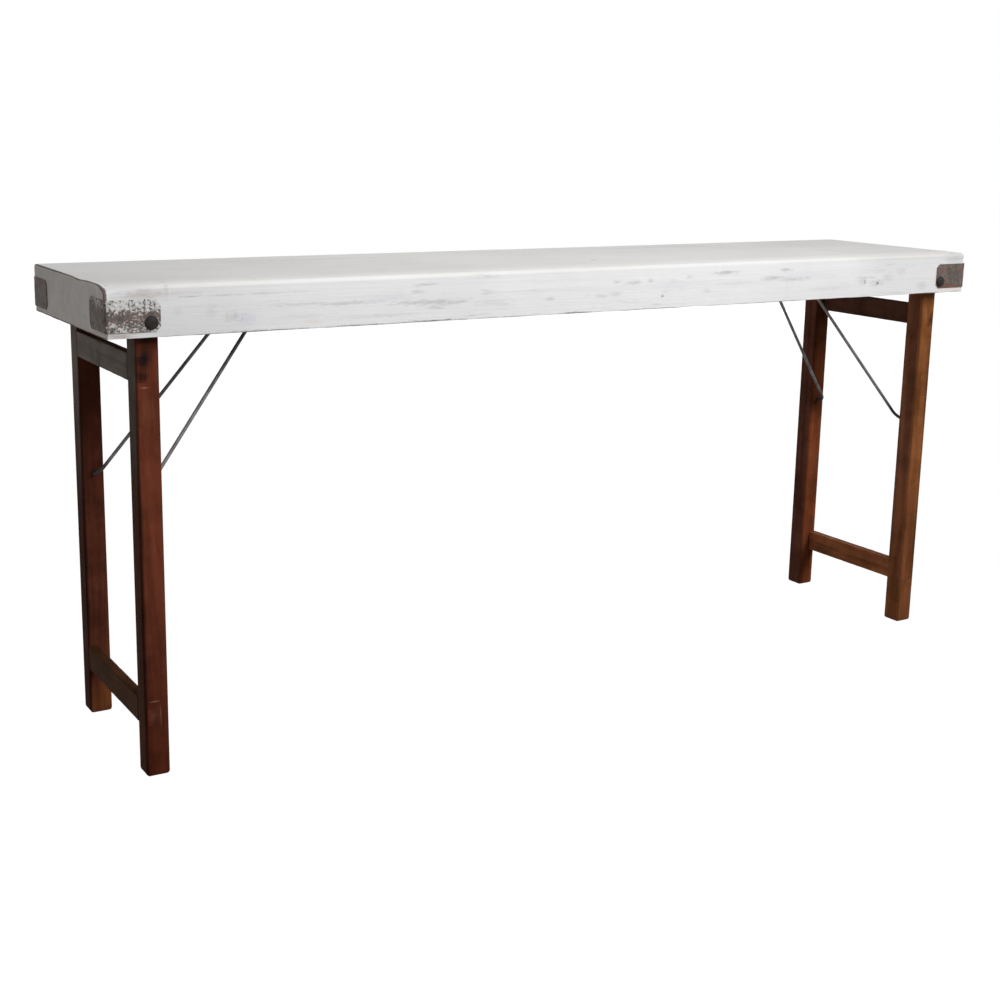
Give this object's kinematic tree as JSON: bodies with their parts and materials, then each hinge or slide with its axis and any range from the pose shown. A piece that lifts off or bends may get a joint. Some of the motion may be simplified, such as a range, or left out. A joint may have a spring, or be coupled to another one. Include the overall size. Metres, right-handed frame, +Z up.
{
  "type": "folding console table",
  "caption": "Long narrow table: a whitewashed plank tray on two stained ladder leg frames that fold up into it, each held open by a bent rod brace.",
  "frame": {"origin": "on the floor under the middle of the top", "axes": "+X along the table to its right end, -Y to its front, +Z up"},
  "size_m": [1.7808, 0.403, 0.78],
  "materials": {
    "painted_wood": "worn white paint",
    "frame_wood": "stained and waxed",
    "raw_wood": "unfinished",
    "strap_iron": "rusted, with flaking paint",
    "nail_iron": "rusted",
    "bolt_steel": "blackened",
    "brace_steel": "dull"
  },
  "bodies": {
    "tabletop": {"front_board": "painted_wood", "front_board_end_piece": "painted_wood", "front_middle_board": "painted_wood", "back_middle_board": "painted_wood", "back_board": "painted_wood", "front_side_rail": "painted_wood", "back_side_rail": "painted_wood", "left_end_rail": "painted_wood", "right_end_rail": "painted_wood", "middle_cross_rail": "raw_wood", "left_batten": "raw_wood", "right_batten": "raw_wood", "left_front_strap": "strap_iron", "left_back_strap": "strap_iron", "right_front_strap": "strap_iron", "right_back_strap": "strap_iron", "strap_nails": "nail_iron", "board_nails": "nail_iron", "pivot_bolts": "bolt_steel", "spacer_washers": "bolt_steel", "nut_washers": "bolt_steel", "pivot_nuts": "bolt_steel", "brace_staples": "bolt_steel"},
    "left_leg_frame": {"left_front_leg": "frame_wood", "left_back_leg": "frame_wood", "left_upper_rail": "frame_wood", "left_lower_rail": "frame_wood"},
    "left_brace": {"left_brace": "brace_steel"},
    "right_leg_frame": {"right_front_leg": "frame_wood", "right_back_leg": "frame_wood", "right_upper_rail": "frame_wood", "right_lower_rail": "frame_wood"},
    "right_brace": {"right_brace": "brace_steel"}
  },
  "joints": [
    {"name": "left_leg_fold", "type": "hinge", "parent": "tabletop", "child": "left_leg_frame", "pos_m": [-0.82, 0, 0.724], "axis": [0, -1, 0], "range_deg": [0, 90]},
    {"name": "left_brace_swing", "type": "hinge", "parent": "tabletop", "child": "left_brace", "pos_m": [-0.562, 0, 0.7566], "axis": [0, -1, 0], "range_deg": [0, 128]},
    {"name": "right_leg_fold", "type": "hinge", "parent": "tabletop", "child": "right_leg_frame", "pos_m": [0.82, 0, 0.724], "axis": [0, 1, 0], "range_deg": [0, 90]},
    {"name": "right_brace_swing", "type": "hinge", "parent": "tabletop", "child": "right_brace", "pos_m": [0.562, 0, 0.7566], "axis": [0, 1, 0], "range_deg": [0, 128]}
  ]
}
